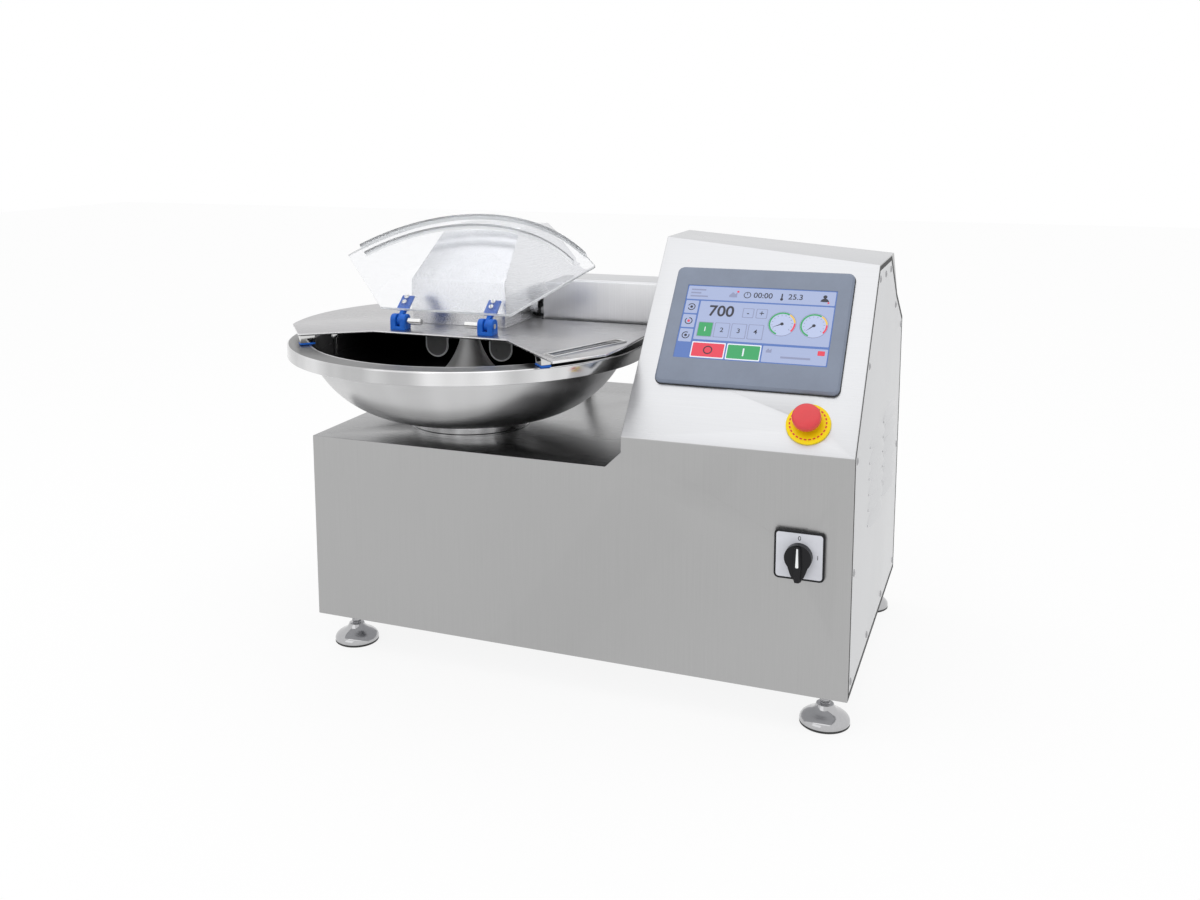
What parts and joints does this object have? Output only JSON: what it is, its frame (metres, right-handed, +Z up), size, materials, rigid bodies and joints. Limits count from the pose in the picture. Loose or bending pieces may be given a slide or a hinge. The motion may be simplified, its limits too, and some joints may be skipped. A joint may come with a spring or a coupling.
{
  "type": "food cutter mixer",
  "caption": "Table-top bowl cutter with a turning bowl, a lifting lid with a knife hood and clear flap, and a console with a touch panel, stop button and main switch.",
  "frame": {"origin": "centre of the footprint on the floor, midway between the bowl rim and the right side and between the bowl rim and the rear panel", "axes": "+Z up, +Y from the front towards the rear, +X to the machine's right, towards the console"},
  "size_m": [0.965, 0.678, 0.7143],
  "materials": {
    "stainless_brushed": "brushed",
    "stainless_polished": "polished",
    "machined_steel": "machined",
    "rubber_black": "matte",
    "plastic_blue": "satin",
    "plastic_clear": "clear polished",
    "panel_frame": "satin",
    "screen": "glossy",
    "plastic_yellow": "satin",
    "plastic_red": "satin",
    "plastic_black": "satin",
    "pulley_aluminium": "machined",
    "motor_paint": "satin"
  },
  "bodies": {
    "machine": {"housing_shell": "stainless_brushed", "base_plate": "stainless_brushed", "rear_panel": "stainless_brushed", "right_side_panel": "stainless_brushed", "side_panel_screws": "stainless_polished", "foot_pads": "rubber_black", "foot_domes": "stainless_polished", "foot_studs": "stainless_polished", "foot_nuts": "stainless_polished", "spindle_housing": "stainless_polished", "spindle_bearing": "machined_steel", "bowl_gearbox": "pulley_aluminium", "bowl_motor": "motor_paint", "shaft_arm": "stainless_brushed", "shaft_bearings": "machined_steel", "shaft_seal": "rubber_black", "rear_cover": "stainless_brushed", "drive_belt": "rubber_black", "knife_motor": "motor_paint", "motor_mount": "motor_paint", "lid_hinge_pin": "stainless_polished", "lid_posts": "stainless_brushed", "hmi_bezel": "panel_frame", "hmi_gasket": "rubber_black", "hmi_display": "screen", "hmi_back_box": "plastic_black", "estop_ring": "plastic_yellow", "estop_body": "plastic_black", "switch_frame": "plastic_black", "switch_plate": "stainless_polished", "switch_body": "plastic_black", "control_cabinet": "motor_paint"},
    "bowl_set": {"bowl": "stainless_polished", "bowl_hub": "stainless_polished", "bowl_spindle": "machined_steel", "bowl_nut": "stainless_polished"},
    "knife_set": {"knife_shaft": "machined_steel", "knife_blade_1": "machined_steel", "knife_blade_2": "machined_steel", "knife_blade_3": "machined_steel", "knife_spacers": "stainless_polished", "knife_nut": "stainless_polished", "shaft_pulley": "pulley_aluminium"},
    "motor_rotor": {"motor_pulley": "pulley_aluminium", "motor_shaft": "machined_steel"},
    "lid": {"lid_plate": "stainless_brushed", "knife_hood": "stainless_brushed", "lid_tongues": "stainless_brushed", "glide_blocks": "stainless_brushed", "glide_pads": "plastic_blue", "temperature_probe": "stainless_polished", "lid_hinge_barrel": "stainless_brushed", "lid_hinge_web": "stainless_brushed", "lid_hinge_knuckles": "plastic_blue", "flap_hinge_pins": "stainless_polished"},
    "flap": {"clear_flap": "plastic_clear", "flap_hinge_leaves": "plastic_blue", "flap_leaf_screws": "stainless_polished"},
    "stop_button": {"estop_button": "plastic_red"},
    "switch_lever": {"switch_knob": "plastic_black"}
  },
  "joints": [
    {"name": "bowl_spin", "type": "hinge", "parent": "machine", "child": "bowl_set", "pos_m": [-0.1845, -0.041, 0.509], "axis": [0, 0, 1], "continuous": true},
    {"name": "knife_spin", "type": "hinge", "parent": "machine", "child": "knife_set", "pos_m": [-0.1845, 0.097, 0.537], "axis": [1, 0, 0], "continuous": true},
    {"name": "motor_spin", "type": "hinge", "parent": "machine", "child": "motor_rotor", "pos_m": [0.2015, 0.097, 0.189], "axis": [1, 0, 0], "continuous": true},
    {"name": "lid_lift", "type": "hinge", "parent": "machine", "child": "lid", "pos_m": [-0.1845, 0.285, 0.534], "axis": [-1, 0, 0], "range_deg": [0, 80]},
    {"name": "flap_swing", "type": "hinge", "parent": "lid", "child": "flap", "pos_m": [-0.1845, -0.126, 0.543], "axis": [1, 0, 0], "range_deg": [0, 139]},
    {"name": "estop_press", "type": "slide", "parent": "machine", "child": "stop_button", "axis": [0, 0.7622, -0.6473], "range_m": [0, 0.006], "stiffness_N_per_m": 1500, "springref_m": -0.002},
    {"name": "switch_turn", "type": "hinge", "parent": "machine", "child": "switch_lever", "pos_m": [0.4025, -0.211, 0.265], "axis": [0, -1, 0], "range_deg": [0, 90]}
  ],
  "couplings": [
    {"joint": "motor_spin", "follows": "knife_spin", "ratio": 1}
  ]
}
